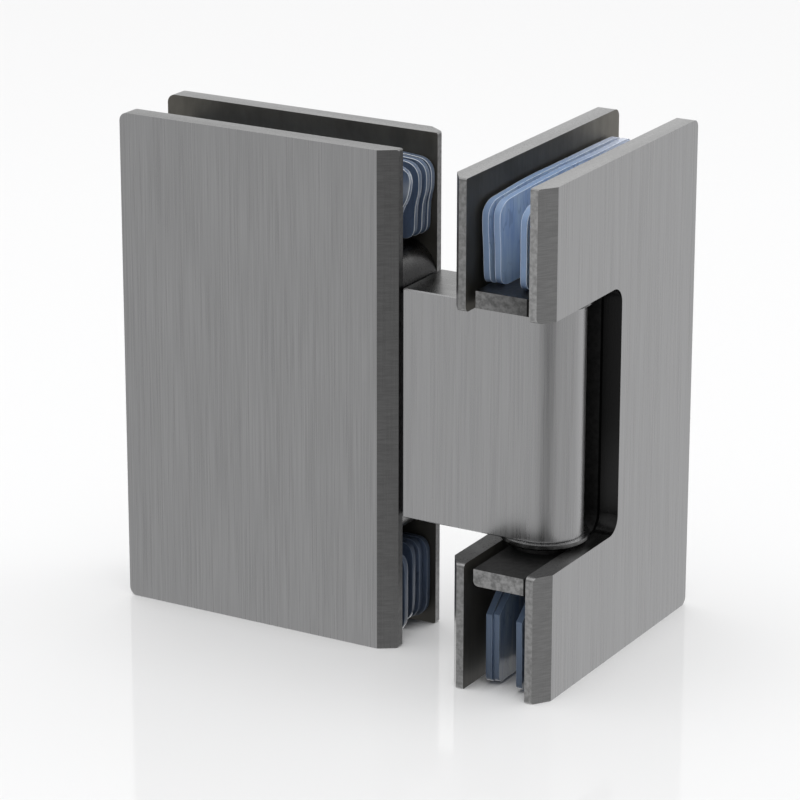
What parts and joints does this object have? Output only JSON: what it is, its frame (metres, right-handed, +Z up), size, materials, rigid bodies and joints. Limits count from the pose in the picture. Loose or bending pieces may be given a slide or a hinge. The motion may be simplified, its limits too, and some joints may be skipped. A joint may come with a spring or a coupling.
{
  "type": "glass door hinge",
  "caption": "Right-angle hinge between two glass panes: paired clamp plates on each pane, joined by a round-ended block that turns on a vertical pin.",
  "frame": {"origin": "middle of the hinge's footprint, on the plane that the plates' lower edges stand on", "axes": "+Z up along the pin; -X along the fixed clamp, away from the pin; +Y along the door clamp, away from the pin, with the door closed"},
  "size_m": [0.0892, 0.055, 0.09],
  "materials": {
    "plate": "dark gunmetal plating, brushed along the height",
    "body": "dark gunmetal plating, brushed along the height",
    "yoke": "dark gunmetal plating, as cast",
    "bush": "dark turned metal",
    "washer": "matt black",
    "pin": "ground steel",
    "spring": "blank spring steel",
    "screw": "dark plated steel",
    "gasket": "clear soft plastic with a blue tint"
  },
  "bodies": {
    "fixed_clamp": {"hinge_body": "body", "fixed_front_plate": "plate", "fixed_rear_plate": "plate", "bush_upper": "bush", "bush_lower": "bush", "spring_leaf_1": "spring", "spring_leaf_2": "spring", "spring_leaf_3": "spring", "fixed_clamp_screw_upper": "screw", "fixed_clamp_screw_lower": "screw", "fixed_core_screw_upper": "screw", "fixed_core_screw_lower": "screw", "fixed_rear_gasket_1": "gasket", "fixed_rear_gasket_2": "gasket", "fixed_rear_gasket_3": "gasket", "fixed_front_gasket": "gasket"},
    "door_clamp": {"yoke": "yoke", "door_outer_plate": "plate", "door_inner_plate": "plate", "pivot_pin": "pin", "thrust_washer_upper": "washer", "thrust_washer_lower": "washer", "door_clamp_screw_upper": "screw", "door_clamp_screw_lower": "screw", "door_yoke_screw_upper": "screw", "door_yoke_screw_lower": "screw", "door_inner_gasket_1": "gasket", "door_inner_gasket_2": "gasket", "door_outer_gasket": "gasket"}
  },
  "joints": [
    {"name": "door_swing", "type": "hinge", "parent": "fixed_clamp", "child": "door_clamp", "pos_m": [0.03515, -0.0097, 0.045], "axis": [0, 0, 1], "range_deg": [-90, 10], "deforming": ["spring_leaf_1", "spring_leaf_2", "spring_leaf_3"]}
  ]
}
